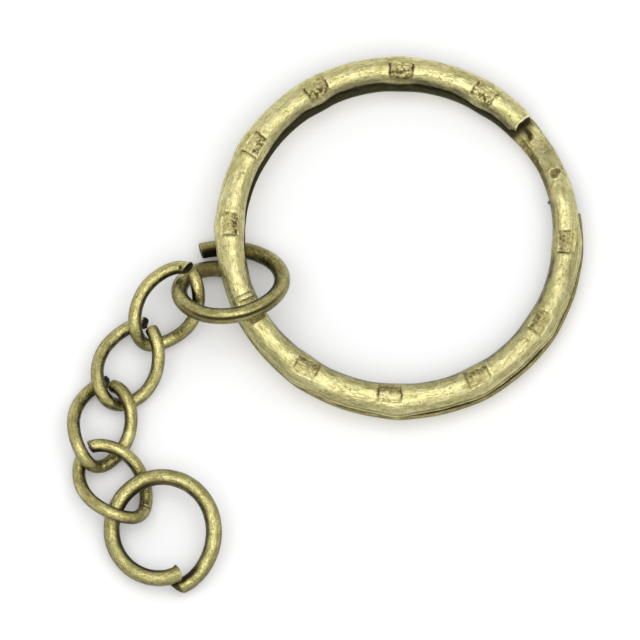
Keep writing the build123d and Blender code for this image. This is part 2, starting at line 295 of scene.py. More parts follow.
# ---- round wire with cut ends ----------------------------------------------------
def wire(name, route, radius, seed, step=0.06, around=44, ends=(None, None), dents_and_shade=(), flats=(), swell=(),
         side_tarnish_and_shade=(0.80, 0.80, 0.45)):
    line = Line(np.array(route) + SHIFT)
    L = line.length
    n = int(L / step) + 1
    phi = np.linspace(0, 2 * math.pi, around, endpoint=False)
    c, sn = np.cos(phi), np.sin(phi)
    base = dict(up=0.0, side=0.0, ridge=0.04, ridge_dir=90.0, rough=0.02, squash=(1.0, 1.0),
                squash_len=0.5, lips=(), dark=0.8, bevel=0.05, shift=0.0)
    e0 = {**base, **(ends[0] or {})}
    e1 = {**base, **(ends[1] or {})}

    def plane(e, k, sign):
        return e["shift"] + k * radius * (e["up"] * c + e["side"] * sn) * sign

    u = np.linspace(0, 1, n)
    s_lo = plane(e0, 1.0, 1) + e0["bevel"]
    s_hi = L + plane(e1, 1.0, 1) - e1["bevel"]
    S = s_lo[None, :] + (s_hi - s_lo)[None, :] * u[:, None]

    def section(S, ks):
        """Points at distance S and radius share ks, all (rings, around), with their two colour masks, patina and
        tarnish, which also carry painted shade.
        """
        pos, t, up, side = line.at(S)
        q = np.stack([S, radius * c[None, :] + 0 * S, radius * sn[None, :] + 0 * S], -1)
        r = radius * (1 + 0.012 * noise3(q, 0.7, seed) + 0.008 * noise3(q, 2.2, seed + 5)
                      + 0.004 * noise3(q, 6.0, seed + 9))
        patina_and_shade = np.zeros_like(S)
        # each dent also darkens the wire by dk; the ones with no depth are only patches of painted shade
        for (s0, f0, ls, lf, depth, dk) in dents_and_shade:
            df = np.abs((np.degrees(phi)[None, :] - f0 + 180) % 360 - 180)
            g = np.exp(-((S - s0) / ls) ** 4 - (df / lf) ** 4)
            rag = 1 + 0.5 * noise3(q, 7.0, seed + 31)
            r = r - depth * g * rag
            patina_and_shade = np.maximum(patina_and_shade, dk * g)
        for (s0, ls, f0, depth) in flats:
            # a face pressed flat by the pliers
            g = np.exp(-((S - s0) / ls) ** 4)
            cosd = np.cos(phi - math.radians(f0))[None, :]
            r = np.where(cosd > 0, np.minimum(r, (radius * (1 - depth * g)) / np.maximum(cosd, 1e-3)), r)
        for (s0, ls, amount) in swell:
            r = r * (1 + amount * np.exp(-((S - s0) / ls) ** 2))
        cu = np.broadcast_to(c, S.shape).copy()
        si = np.broadcast_to(sn, S.shape).copy()
        for e, d in ((e0, S - s_lo[None, :]), (e1, s_hi[None, :] - S)):
            g = np.exp(-(np.maximum(d, 0) / e["squash_len"]) ** 2)
            cu = cu * (1 + (e["squash"][0] - 1) * g)
            si = si * (1 + (e["squash"][1] - 1) * g)
            for (f0, lf, height, ls) in e["lips"]:
                df = np.abs((np.degrees(phi)[None, :] - f0 + 180) % 360 - 180)
                r = r + height * np.exp(-(df / lf) ** 2) * np.exp(-(np.maximum(d, 0) / ls) ** 2)
        k = ks[:, None]
        P = pos + (r * cu * k)[..., None] * up + (r * si * k)[..., None] * side
        q = np.stack([S + 50.0 * seed, r * cu * k, r * si * k], -1)
        # painted shade: the base colour darkens towards both sides of the wire and over its underside, kept in the
        # tarnish mask
        edge = np.where(si > 0, side_tarnish_and_shade[0], side_tarnish_and_shade[1])
        wide = edge >= 1.0
        tarnish_and_shade = np.maximum(edge * smooth(-np.abs(cu - 0.04) + 0.10 * noise3(q, 1.1, seed + 61),
                                           np.where(wide, -0.92, -0.84), np.where(wide, -0.58, -0.28)),
                             side_tarnish_and_shade[2] * smooth(-cu, 0.0, 0.6))
        return P, q, patina_and_shade, t, tarnish_and_shade

    P, Q, A, T, B = section(S, np.ones(n))
    # end faces, as rings that shrink to the middle
    shares = np.array([0.985, 0.955, 0.90, 0.80, 0.66, 0.48, 0.28, 0.10])
    caps = []
    for e, sign in ((e0, -1), (e1, 1)):
        rows = np.zeros((len(shares), around))
        for i, k in enumerate(shares):
            pl = plane(e, k, 1) + (L if sign > 0 else 0.0)
            rim = e["bevel"] * max(0.0, (k - 0.955)) / 0.045
            d = math.radians(e["ridge_dir"])
            across = k * (c * math.cos(d) + sn * math.sin(d))
            hill = e["ridge"] * (1 - np.abs(across)) * (1 if k < 0.97 else 0.3)
            rows[i] = pl - sign * rim + sign * hill
        CP, CQ, CA, CT, CB = section(rows, shares)
        wob = fbm(CQ, 4.0, seed + 71, 3) * e["rough"] * 2.0
        wob[0] *= 0.3
        CP = CP + (wob[..., None] * CT) * sign
        CA = np.maximum(CA, e["dark"] * smooth(1 - shares, 0.03, 0.15)[:, None] + 0 * CA)
        caps.append((CP, CQ, CA, CB))
    (sp, sq, sa, sb), (ep, eq, ea, eb) = caps
    P = np.concatenate([sp[::-1], P, ep])
    Q = np.concatenate([sq[::-1], Q, eq])
    A = np.concatenate([sa[::-1], A, ea])
    B = np.concatenate([sb[::-1], B, eb])
    ob = grid_mesh(name, P, {"wire_co": Q, "patina_and_shade": A, "tarnish_and_shade": B})
    outward(ob)
    return ob


# ---- split ring -------------------------------------------------------------------
COIL_R = 11.53
HALF_W = 0.875
LOWER = np.array([0.18, -0.38])
#         angle, along, across, turned, depth, half length across
STAMPS = [(59, 0.00, -0.12, 6, 1.0, 0.56),
          (89, 0.00, -0.24, 1, 1.1, 0.57),
          (119.3, 0.00, -0.16, -4, 1.1, 0.58),
          (148.8, 0.00, -0.05, 3, 1.0, 0.58),
          (178.2, 0.00, 0.00, 0, 0.9, 0.60),
          (209.3, 0.00, 0.00, 0, 0.9, 0.60),
          (237, 0.00, 0.00, -5, 1.0, 0.60),
          (267, 0.00, -0.02, 0, 1.1, 0.62),
          (298, 0.00, -0.02, 4, 1.0, 0.60),
          (327, 0.00, 0.02, -3, 0.9, 0.58),
          (357, 0.00, 0.00, 0, 1.0, 0.58)]
#          angle, bulge inwards, bulge outwards, spread: metal pushed aside by the punch
BULGES = [(59.5, 0.15, 0.05, 4.4), (89.5, 0.13, 0.05, 5.0), (120, 0.18, 0.04, 4.4), (149, 0.06, 0.11, 5.0),
          (178, 0.05, 0.11, 5.0), (206, 0.05, 0.08, 5.0), (235, 0.09, 0.14, 4.6), (269.5, 0.06, 0.19, 5.0),
          (298, 0.09, 0.12, 5.0), (327, 0.06, 0.10, 5.0), (357, 0.05, 0.12, 5.0)]
TOP_N, LOW_N, WALL_N = 54, 28, 7


def ring_point(theta, dr, z, centre):
    """theta in degrees, dr and z in mm in the ring's own plane, to the row frame."""
    a = np.radians(theta)
    x = (COIL_R + dr) * np.cos(a) + centre[0]
    y = (COIL_R + dr) * np.sin(a) + centre[1]
    return AXLE + x[..., None] * RING_X + y[..., None] * RING_Y + z[..., None] * RING_N


def dome_sag(x, w, skew=1.0, move=0.0):
    """How far the round side has dropped at x across, crest a little inside the middle."""
    tc = -0.05 * skew + move
    u = np.where(x / w > tc, (x / w - tc) / (1 - tc), (x / w - tc) / (1 + tc))
    drop = np.where(u > 0, 0.76 - 0.08 * skew, 0.76 + 0.10 * skew)
    return drop * (1 - np.power(np.clip(1 - np.abs(u) ** 2.0, 0, 1), 0.60))


def stamp_effect(theta, x, p, seed, only=None):
    """Depth to take off the dome, and the dark in the mark, for points theta (deg) and x (mm)."""
    depth = np.zeros_like(x)
    dark = np.zeros_like(x)
    floor_w = np.zeros_like(x)
    for k, (a, ds, dx, turn, amount, half) in enumerate(STAMPS):
        if only is not None and not only(a):
            continue
        s = np.radians((theta - a + 180) % 360 - 180) * COIL_R - ds
        if np.abs(s).min() > 2:
            continue
        t = math.radians(turn)
        s2, x2 = s * math.cos(t) + (x - dx) * math.sin(t), -s * math.sin(t) + (x - dx) * math.cos(t)
        wav = 0.050 * noise3(p, 2.6, seed + k) + (0.028 if a > 200 else 0.045) * noise3(p, 6.0, seed + 7 + k)
        inside_s = 1 - smooth(np.abs(s2 + wav), 0.70, 0.80)
        inside_x = 1 - smooth(np.abs(x2 + wav), half - 0.10, half + 0.03)
        wide_x = 1 - smooth(np.abs(x2 + wav), half - 0.06, half + 0.10)
        grain = noise3(p, 7.0, seed + 40 + k) * 0.6 + noise3(p, 15.0, seed + 60 + k) * 0.4
        edge = np.exp(-((np.abs(s2 + wav) - 0.77) / 0.105) ** 2) * wide_x
        side = np.exp(-((np.abs(x2 + wav) - half) / 0.085) ** 2) * (1 - smooth(np.abs(s2), 0.74, 0.86))
        if not 50 < a < 130:
            side = side * np.where(x2 > 0, 0.10, 0.6)
        if a > 200:
            edge = edge * (1 - 0.7 * smooth(x2, 0.10, 0.50))
        crest = np.exp(-((x - 0.10 * noise3(p, 1.5, seed + 90 + k) + 0.14) / 0.06) ** 2) * inside_s
        if a > 200:
            crest = crest * 0.15
            side = side * 0.45
        rough = np.clip(0.55 + (0.45 if a > 200 else 0.80) * noise3(p, 3.6, seed + 80 + k), 0, 1)
        inside = inside_s * inside_x
        depth += amount * (inside * (0.034 + 0.013 * grain) + edge * (0.012 + 0.040 * rough)
                           + side * (0.008 + 0.026 * rough) + crest * 0.016 * rough
                           - 0.018 * np.exp(-((np.abs(s2) - 0.95) / 0.10) ** 2) * wide_x)
        floor_w = np.maximum(floor_w, inside)
        inner = 1 - smooth(x, -0.22, 0.02)
        grit = np.clip(0.5 + (0.6 if a > 200 else 1.3) * grain, 0, 1)
        dark = np.maximum(dark, edge * (0.32 + 0.42 * rough) * amount)
        dark = np.maximum(dark, side * (0.12 + 0.42 * rough) * amount)
        dark = np.maximum(dark, crest * 0.40 * rough)
        bare_and_highlight = smooth(x, -0.20, -0.06) * (1 - smooth(x, 0.20, 0.34)) * (0.75 if a == 267 else 0.0)
        dark = np.maximum(dark, inside * (0.24 + 0.18 * grit + inner * (0.08 + 0.22 * grit)) * (1 - bare_and_highlight))
    return depth, dark, floor_w


def half_widths(theta, upper=True):
    near = smooth(theta, 200.0, 225.0) * (1 - smooth(theta, 352.0, 372.0))
    inner = np.full_like(theta, HALF_W) + 0.06 * near
    outer = np.full_like(theta, HALF_W) + 0.07 * near
    if upper:
        outer = outer + np.interp(theta, [225, 243, 256, 290, 306, 330, 352], [0, 0.09, 0.11, 0.10, 0.07, 0.04, 0])
        inner = inner + np.interp(theta, [122, 140, 180, 192, 205], [0, 0.10, 0.12, 0.05, 0])
        # the corners of the cut end are knocked off
        inner = inner - 0.24 * (1 - smooth(theta, 42.6, 44.4))
        outer = outer - 0.10 * (1 - smooth(theta, 42.6, 46.0))
    else:
        inner, outer = inner * 0 + HALF_W + 0.03, outer * 0 + HALF_W + 0.05
    for (a, bi, bo, spread) in BULGES:
        d = (theta - a + 180) % 360 - 180
        k = 1.0 if upper else 0.4
        inner = inner + k * bi * np.exp(-(d / spread) ** 2)
        outer = outer + k * bo * np.exp(-(d / spread) ** 2)
    return inner, outer


def coil_rings(theta, blend, lean=None, shrink=None):
    """Sections at angles theta (continuing past 360 down the ramp and round the lower coil).
    blend runs from 0 on the upper coil to 1 on the lower one.  lean tips a section, in
    degrees of arc over its height.  shrink draws sections in towards their middle."""
    n = len(theta)
    s = blend
    low0, high0 = 0.03, 1.20
    low = low0 + (-1.20 - low0) * s
    high = high0 + (-0.03 - high0) * s
    centre = LOWER[None, :] * s[:, None]
    wi_u, wo_u = half_widths(theta, True)
    wi_l, wo_l = half_widths(theta, False)
    wi = wi_u * (1 - s) + wi_l * s
    wo = wo_u * (1 - s) + wo_l * s
    on_ramp = smooth(theta, 374.0, 386.0) * (1 - smooth(theta, 397.0, 404.0))
    bow = 0.05 * smooth(theta, 376.0, 392.0) * (1 - smooth(theta, 397.0, 406.0))
    wi, wo = wi - 0.02 * on_ramp, wo - 0.13 * on_ramp
    arc = np.radians(theta) * COIL_R
    tcos = np.cos(np.pi * np.arange(TOP_N) / (TOP_N - 1))         # outer to inner
    lcos = -np.cos(np.pi * np.arange(LOW_N) / (LOW_N - 1))        # inner to outer

    def width(c):
        return np.where(c > 0, wo[:, None] * c, wi[:, None] * c)

    xt = width(np.broadcast_to(tcos, (n, TOP_N)))
    xl = width(np.broadcast_to(lcos, (n, LOW_N)))
    unit_t = np.broadcast_to(tcos, (n, TOP_N))
    unit_l = np.broadcast_to(lcos, (n, LOW_N))
    S = s[:, None]
    crest_move = np.interp(theta, [42, 90, 104, 134, 162, 183, 195, 235, 250, 285, 300],
                           [0, 0, -0.08, -0.20, -0.20, -0.12, 0, 0, -0.10, -0.10, 0])
    sag_t = dome_sag(unit_t, 1.0, 1.0, crest_move[:, None]) * (1 - S) + 0.03 * unit_t ** 4 * S
    sag_l = 0.03 * unit_l ** 4 * (1 - S) + dome_sag(unit_l, 1.0, 0.3) * S
    zt = high[:, None] - sag_t
    zl = low[:, None] + sag_l
    q_t = np.stack([np.broadcast_to(arc[:, None], xt.shape), xt, zt], -1)
    q_l = np.stack([np.broadcast_to(arc[:, None], xl.shape), xl, zl], -1)
    th_t = np.broadcast_to(theta[:, None], xt.shape)
    th_l = np.broadcast_to(theta[:, None], xl.shape)
    dt, kt, ft = stamp_effect(th_t, xt, q_t, 11)
    up_w = 1 - smooth(s, 0.0, 0.05)[:, None]
    # the punch leaves a floor flatter than the dome
    flat = np.clip((zt - (high[:, None] - 0.20)) * 0.30, 0, 1) * ft
    zt = zt - (dt + flat) * up_w
    kt = kt * up_w
    dl, kl, fl = stamp_effect(th_l, xl, q_l, 211, only=lambda a: a != 357)
    lo_w = smooth(s, 0.95, 1.0)[:, None]
    zl = zl + dl * lo_w
    kl = kl * lo_w
    # a small pressed blob with a raised rim, near the top of the crossover
    sb, xb = (th_t - 382.5) * math.pi / 180 * COIL_R, xt - 0.03
    lobes = (np.hypot(sb - 0.17, xb + 0.08), np.hypot(sb - 0.07, xb - 0.21), np.hypot(sb + 0.12, xb + 0.12))
    rb = -np.log(sum(np.exp(-12.0 * np.minimum(l, 6.0)) for l in lobes)) / 12.0 + 0.14
    rb = rb + 0.035 * noise3(q_t, 3.2, 91)
    rim = np.exp(-((rb - 0.45) / 0.045) ** 2)
    blob = (rb < 0.9) * (0.032 * rim - 0.020 * (1 - smooth(rb, 0.30, 0.41)))
    kt = kt * (1 - rim)
    kt = np.maximum(kt, (0.50 + 0.14 * noise3(q_t, 5.0, 95)) * (1 - smooth(rb, 0.36, 0.42)))
    # painted highlight on the blob's raised rim
    rim_highlight = 0.38 * rim
    zt = zt + blob
    # the crossover is bevelled, with painted shade along its inner side
    bev = np.interp(theta, [372, 382, 388, 393, 396, 399, 404], [0.0, 0.22, 0.30, 0.38, 0.44, 0.50, 0.50])[:, None]
    into = -xt - (wi[:, None] - bev) + 0.03 * noise3(q_t, 2.5, 97)
    ramp_w = (smooth(theta, 374.0, 381.0) * (1 - smooth(theta, 398.0, 402.0)))[:, None]
    zt = zt - 0.55 * np.clip(into, 0, 0.6) * ramp_w * (1 - 0.5 * smooth(theta, 393.0, 398.0))[:, None]
    kt = np.maximum(kt, (0.58 + 0.07 * noise3(q_t, 4.0, 98)) * smooth(into, -0.02, 0.07) * (smooth(theta, 374.0, 380.0) * (1 - smooth(theta, 400.0, 404.0)))[:, None])
    # a dark streak of painted shadow running out from under the cut end, over a shallow groove
    gs = (th_t - 400.4) * math.pi / 180 * COIL_R
    shadow_streak = np.exp(-((xt - 0.02 - 0.35 * gs + 0.07 * noise3(q_t, 4.0, 99)) / 0.25) ** 4) * smooth(gs, -0.36, -0.24)
    kt = np.maximum(kt, 0.85 * shadow_streak * smooth(theta, 392.0, 396.0)[:, None])
    zt = zt - 0.05 * shadow_streak * (smooth(theta, 392.0, 396.0) * (1 - smooth(theta, 401.0, 404.0)))[:, None]
    # the shears leave a raised burr round the top of the cut end
    cut_rim = np.exp(-((theta - 42.74) / 0.30) ** 2)[:, None] * (1 - np.abs(unit_t) ** 8)
    zt = zt + 0.045 * cut_rim
    # a painted highlight along the burr
    rim_highlight = np.maximum(rim_highlight, 0.85 * cut_rim)
    # slow unevenness of the hammered surface
    zt = zt + (0.034 * fbm(q_t * [1, 1.6, 1.6], 0.55, 3, 3) + 0.016 * noise3(q_t, 1.7, 6)) * (1 - np.abs(unit_t) ** 8)
    xt = xt + 0.020 * fbm(q_t, 0.9, 4, 2)
    # walls, with the thin lip that the die leaves along the parting edge
    near = (smooth(theta, 205.0, 230.0) * (1 - smooth(theta, 350.0, 368.0)))[:, None]
    w_in = np.linspace(0, 1, WALL_N + 2)[1:-1]
    w_dense = np.array([0.04, 0.10, 0.18, 0.30, 0.48, 0.68, 0.87])
    w_out = w_dense[None, :] * (1 - S) + (1 - w_dense[::-1])[None, :] * S
    xo = np.repeat(wo[:, None], WALL_N, 1)
    zo0, zo1 = zl[:, -1], zt[:, 0]
    zo = zo0[:, None] + (zo1 - zo0)[:, None] * w_out
    xi = np.repeat(-wi[:, None], WALL_N, 1)
    zi0, zi1 = zt[:, -1], zl[:, 0]
    zi = zi0[:, None] + (zi1 - zi0)[:, None] * w_in
    q_o = np.stack([np.broadcast_to(arc[:, None], xo.shape), xo, zo], -1)
    lip_at = zo0[:, None] * (1 - S) + zo1[:, None] * S
    lip = np.exp(-((zo - lip_at) / (0.075 - 0.025 * near)) ** 2)
    xo = xo + (0.060 + 0.035 * near) * lip * (0.80 + 0.20 * noise3(q_o, 1.4, 8))
    xo = xo + 0.012 * fbm(q_o, 1.3, 4, 2)
    # round the corners where walls meet the flat side
    xl = xl * (1 - 0.035 * np.abs(unit_l) ** 30 * (1 - S))
    # a burr left on the inner side at the top of the crossover
    burr = np.exp(-(((theta - 372.9) / 0.55) ** 2))[:, None] * np.exp(-((zi - 0.15) / 0.22) ** 2)
    xi = xi - 0.15 * burr
    X = np.concatenate([xl, xo, xt, xi], 1) + bow[:, None]
    Z = np.concatenate([zl, zo, zt, zi], 1)
    # painted shade in the gap between the coils under the springy end, on the lower coil's top and walls, darkest where
    # the coils meet
    in_gap = smooth(theta, 400.5, 404.0)[:, None]
    over = smooth(zo, (zo0 + 0.45 * (zo1 - zo0))[:, None], zo1[:, None])
    shown = smooth(unit_t, 0.80, 0.92)
    K = np.concatenate([kl, (0.30 + 0.12 * over) * in_gap + 0 * xo, np.maximum(kt, (0.84 - 0.56 * shown) * in_gap),
                        0.88 * in_gap + 0.45 * np.clip(burr, 0, 1) + 0 * xi], 1)
    # tarnish and painted shade: bare on the crown; painted shade darkens the inner flank, the near arcs, the walls, the
    # lower coil and the gap between the coils
    away = np.ones_like(theta) * 0
    for (a, bi, bo, spread) in BULGES:
        away = np.maximum(away, np.exp(-((((theta - a + 180) % 360 - 180)) / 5.0) ** 4))
    side = np.interp(theta, [42, 50, 90, 104, 134, 150, 196, 212, 230, 340, 372, 380], [1, 1, 1, 0.74, 0.70, 0.30, 0.25, 0.65, 0.75, 0.75, 0.9, 0.9])
    band = (side * (1 - 0.75 * away))[:, None] * smooth(-xt + 0.05 * noise3(q_t, 1.3, 51), 0.60, 0.76)
    ramp_t = smooth(theta, 386.0, 394.0)[:, None]
    close = (smooth(theta, 205.0, 230.0) * (1 - smooth(theta, 345.0, 365.0)))[:, None]
    t_top = (0.42 * side[:, None] * smooth(-unit_t, 0.45, 0.95) + (0.55 + 0.10 * close) * band
             + (0.0 + 0.15 * close) * smooth(unit_t, 0.35, 0.75) + 0.34 * ramp_t + 0.17 * close)
    t_low = 0.62 * smooth(-unit_l, 0.52, 0.98) + 0.25 * smooth(unit_l, 0.60, 0.95)
    t_flat = 0.40 + (0.55 - 0.08 * shown) * in_gap
    # the thin lip gets a painted highlight: its tarnish falls below zero, which the material shows as a pale bright
    # line
    B = np.concatenate([0.9 * (1 - S) + t_low * S + 0 * xl,
                        (0.42 + 0.43 * S) * (1 - lip * (1 - 0.8 * S)) - 0.8 * lip * near * (1 - S) + 0 * xo,
                        (t_top * (1 - S) + t_flat * S) * (1 - rim_highlight) - rim_highlight + 0 * xt,
                        0.95 + 0 * xi], 1)
    cx = centre[:, 0][:, None] + 0 * X
    cy = centre[:, 1][:, None] + 0 * X
    th = np.broadcast_to(theta[:, None], X.shape).copy()
    mid = ((low + high) / 2)[:, None]
    if shrink is not None:
        X = X * shrink[:, None]
        Z = mid + (Z - mid) * shrink[:, None]
    if lean is not None:
        th = th + lean[:, None] * (mid - Z) / 1.2
    Q = np.stack([np.radians(th) * COIL_R, X, Z], -1)
    if shrink is not None:
        bump = 0.05 * fbm(Q * [0.2, 1, 1], 4.0, 77, 3) * smooth(1 - shrink, 0.0, 0.1)[:, None]
        th = th + np.degrees(bump / COIL_R)
    P = ring_point(th, X, Z, (cx, cy))
    return P, Q, K, B


def spaced(a, b, coarse, fine, centres, half=5.0):
    """Angles from a to b, closer together round the stamped marks."""
    g = np.linspace(a, b, 8000)
    want = np.full_like(g, 1 / coarse)
    for c in centres:
        d = np.abs((g - c + 180) % 360 - 180)
        want += (1 / fine - 1 / coarse) * np.exp(-(d / half) ** 6)
    cum = np.r_[0, np.cumsum((want[1:] + want[:-1]) / 2 * np.diff(g))]
    n = int(round(cum[-1])) + 1
    return np.interp(np.linspace(0, cum[-1], n), cum, g)


def cut_end(theta, blend, lean, sign, dark, advance=0.035):
    """Rings that close the wire with a cut face."""
    shares = np.array([0.985, 0.955, 0.90, 0.78, 0.60, 0.40, 0.18])
    adv = np.degrees(np.array([0.020, 0.032] + [advance] * 5) / COIL_R) * sign
    P, Q, K, B = coil_rings(theta + adv, np.full(7, blend), np.full(7, lean), shares)
    face = smooth(1 - shares, 0.04, 0.12)[:, None]
    K = np.maximum(K * 0.3, dark * face)
    # the rim round the cut face gets a painted highlight, its tarnish falling below zero; the face itself a middling
    # tarnish
    return P, Q, K, B * 0.3 * (1 - face) + 0.5 * face - 0.6 * (1 - face)


def flat_end(theta, blend):
    """Rings that close the wire with a plain flat face where two lengths of it meet."""
    shares = np.array([0.9, 0.6, 0.25])
    P, Q, K, B = coil_rings(np.full(3, theta), np.full(3, blend), None, None)
    mid = P.mean(1, keepdims=True)
    P = mid + (P - mid) * shares[:, None, None]
    return P, Q, K, B


def split_ring_upper():
    th = spaced(42.6, SEAM - 0.012, 0.60, 0.26, [a[0] for a in STAMPS if a[0] < SEAM + 8])
    th = np.r_[np.linspace(42.6, 43.7, 10), th[th > 43.9]]
    lean = -0.80 * (1 - smooth(th, 42.6, 46.0))
    rows = coil_rings(th, np.zeros_like(th), lean)
    a, b = cut_end(42.6, 0.0, -0.80, -1, 0.80), flat_end(SEAM - 0.012, 0.0)
    return [np.concatenate([x[::-1], y, z]) for x, y, z in zip(a, rows, b)]


def split_ring_rest():
    up = spaced(SEAM + 0.012, 372.0, 0.60, 0.28, [a[0] for a in STAMPS])
    ramp = np.r_[np.linspace(372.0, 379.0, 26)[1:], np.linspace(379.0, 386.0, 64)[1:], np.linspace(386.0, 399.0, 56)[1:]]
    low = spaced(399.0, 730.0, 1.20, 0.56, [a[0] for a in STAMPS if a[0] != 357])[1:]
    th = np.r_[up, ramp, low]
    t = np.clip((th - 372.0) / 27.0, 0, 1)
    bl = t * t * (3 - 2 * t)
    lean = 1.0 * smooth(th, 727.0, 730.0)
    rows = coil_rings(th, bl, lean)
    a, b = flat_end(SEAM + 0.012, 0.0), cut_end(730.0, 1.0, 1.0, 1, 0.85)
    return [np.concatenate([x[::-1], y, z]) for x, y, z in zip(a, rows, b)]


SEAM = 203.5


def ring_piece(name, rows):
    P, Q, K, B = rows
    ob = grid_mesh(name, P, {"wire_co": Q, "patina_and_shade": K, "tarnish_and_shade": B})
    outward(ob)
    return ob


# ---- aged bronze ------------------------------------------------------------------
def bronze(name, bright, mid, dark, tarnish_and_shade, rough, offset, streak=0.5, grain=0.25, grit=15.0, blot=0.72):
    m = bpy.data.materials.new(name)
    m.use_nodes = True
    nt = m.node_tree
    N, Lk = nt.nodes, nt.links
    N.clear()
    out = N.new("ShaderNodeOutputMaterial")
    bs = N.new("ShaderNodeBsdfPrincipled")
    Lk.new(bs.outputs[0], out.inputs[0])
    co = N.new("ShaderNodeAttribute")
    co.attribute_name = "wire_co"
    pat_shade = N.new("ShaderNodeAttribute")
    pat_shade.attribute_name = "patina_and_shade"
    tar_shade = N.new("ShaderNodeAttribute")
    tar_shade.attribute_name = "tarnish_and_shade"

    def mapped(scale, shift=(0, 0, 0)):
        mp = N.new("ShaderNodeMapping")
        mp.inputs["Scale"].default_value = scale
        mp.inputs["Location"].default_value = [a + b for a, b in zip(shift, offset)]
        Lk.new(co.outputs["Vector"], mp.inputs["Vector"])
        return mp.outputs[0]

    def noise(scale, detail=2.0, rough_=0.55, distortion=0.0, shift=(0, 0, 0)):
        n = N.new("ShaderNodeTexNoise")
        n.inputs["Scale"].default_value = 1.0
        n.inputs["Detail"].default_value = detail
        n.inputs["Roughness"].default_value = rough_
        n.inputs["Distortion"].default_value = distortion
        Lk.new(mapped(scale, shift), n.inputs["Vector"])
        return n.outputs["Fac"]

    def ramp(src, stops):
        r = N.new("ShaderNodeValToRGB")
        Lk.new(src, r.inputs[0])
        els = r.color_ramp.elements
        while len(els) < len(stops):
            els.new(0.5)
        for e, (p, c) in zip(els, stops):
            e.position = p
            e.color = (*c, 1) if len(c) == 3 else c
        return r.outputs["Color"]

    def value(src, lo_, hi_, a=0.0, b=1.0):
        r = N.new("ShaderNodeMapRange")
        r.inputs["From Min"].default_value = lo_
        r.inputs["From Max"].default_value = hi_
        r.inputs["To Min"].default_value = a
        r.inputs["To Max"].default_value = b
        Lk.new(src, r.inputs["Value"])
        return r.outputs[0]

    def math_(op, a, b):
        q = N.new("ShaderNodeMath")
        q.operation = op
        for i, v in enumerate((a, b)):
            if isinstance(v, (int, float)):
                q.inputs[i].default_value = v
            else:
                Lk.new(v, q.inputs[i])
        return q.outputs[0]

    def mix(fac, a, b, mode="MIX"):
        q = N.new("ShaderNodeMix")
        q.data_type = "RGBA"
        q.blend_type = mode
        q.clamp_factor = True
        if isinstance(fac, (int, float)):
            q.inputs["Factor"].default_value = fac
        else:
            Lk.new(fac, q.inputs["Factor"])
        for i, v in ((6, a), (7, b)):
            if isinstance(v, tuple):
                q.inputs[i].default_value = (*v, 1)
            else:
                Lk.new(v, q.inputs[i])
        return q.outputs[2]

    clouds = noise((0.7, 1.5, 1.5), 4.0, 0.62, 0.4)
    body = ramp(clouds, [(0.34, mid), (0.60, bright)])
    olive = tuple(0.5 * a + 0.5 * b for a, b in zip((0.16, 0.135, 0.042), mid))
    # patches where the finish has darkened or rubbed thin
    blotch = noise((2.0, 3.4, 3.4), 4.0, 0.62, 0.6, (6, 2, 8))
    body = mix(math_("MULTIPLY", value(blotch, 0.50, 0.62), blot), body, olive)
    # small dark specks and short dark lines left in the plating
    specks = noise((5.5, 8.5, 8.5), 3.0, 0.60, 0.3)
    patches = noise((0.9, 1.5, 1.5), 2.0, 0.5, 0.0, (7, 3, 1))
    speck_mask = math_("MULTIPLY", value(specks, 0.54, 0.66), value(patches, 0.42, 0.58, 0.15, 1.0))
    body = mix(math_("MULTIPLY", speck_mask, 0.70), body, (0.17, 0.140, 0.046))
    fine = noise((grit, grit * 1.25, grit * 1.25), 2.0, 0.6)
    body = mix(math_("MULTIPLY", value(fine, 0.48, 0.66), grain), body, (0.20, 0.165, 0.06))
    # fine drawing lines along the wire
    lines = noise((0.7, 10.0, 10.0), 3.0, 0.65, 0.0, (2, 9, 4))
    line_area = noise((0.5, 1.2, 1.2), 1.0, 0.5, 0.0, (5, 5, 9))
    line_mask = math_("MULTIPLY", value(lines, 0.53, 0.62), value(line_area, 0.46, 0.58, 0.1, 1.0))
    body = mix(math_("MULTIPLY", line_mask, streak), body, (0.15, 0.122, 0.040))
    # smooth tarnish and painted shade on flanks, walls and wire undersides
    tarnish_shade_amount = math_("MULTIPLY", tar_shade.outputs["Fac"], value(noise((1.6, 2.2, 2.2), 3.0, 0.6, 0.0, (8, 1, 6)), 0.30, 0.65, 0.72, 1.08))
    body = mix(tarnish_shade_amount, body, tarnish_and_shade)
    # copper showing through in a few small places
    rub = noise((0.9, 2.0, 2.0), 2.0, 0.6, 0.0, (11, 6, 2))
    body = mix(value(rub, 0.67, 0.75, 0.0, 0.35), body, (0.66, 0.42, 0.15))
    # old dark finish in marks, cut faces and hollows, and painted shade between the coils, under the cut end and on
    # shaded sides of the wires
    rag = math_("MULTIPLY", noise((6.0, 8.0, 8.0), 3.0, 0.6, 0.0, (1, 2, 3)), 0.9)
    dirt_and_shade = math_("ADD", pat_shade.outputs["Fac"], math_("SUBTRACT", rag, 0.42))
    dirt_and_shade = math_("MULTIPLY", value(dirt_and_shade, 0.12, 0.70), value(pat_shade.outputs["Fac"], 0.02, 0.15))
    soil_and_shade = ramp(pat_shade.outputs["Fac"], [(0.34, (0.215, 0.172, 0.066)), (0.62, (0.125, 0.100, 0.036)), (0.84, dark)])
    body = mix(dirt_and_shade, body, soil_and_shade)
